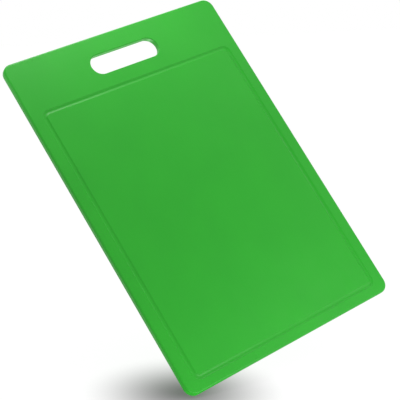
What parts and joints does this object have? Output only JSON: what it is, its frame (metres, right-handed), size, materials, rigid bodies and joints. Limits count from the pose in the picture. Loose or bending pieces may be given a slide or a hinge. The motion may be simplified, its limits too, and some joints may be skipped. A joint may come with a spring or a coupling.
{
  "type": "cutting board",
  "caption": "Flat rectangular plastic cutting board with rounded rims, a juice groove round the working face and a finger slot near one short edge.",
  "frame": {"origin": "middle of the flat back face, which rests on the worktop", "axes": "+Z out of the working face, +Y along the length towards the finger slot, +X across the width, to the right with the slot away from the user"},
  "size_m": [0.25, 0.35, 0.007],
  "materials": {
    "green_plastic": "moulded polypropylene, one solid colour all through, satin sheen with a very fine even grain"
  },
  "bodies": {
    "root": {"board": "green_plastic"}
  },
  "joints": []
}
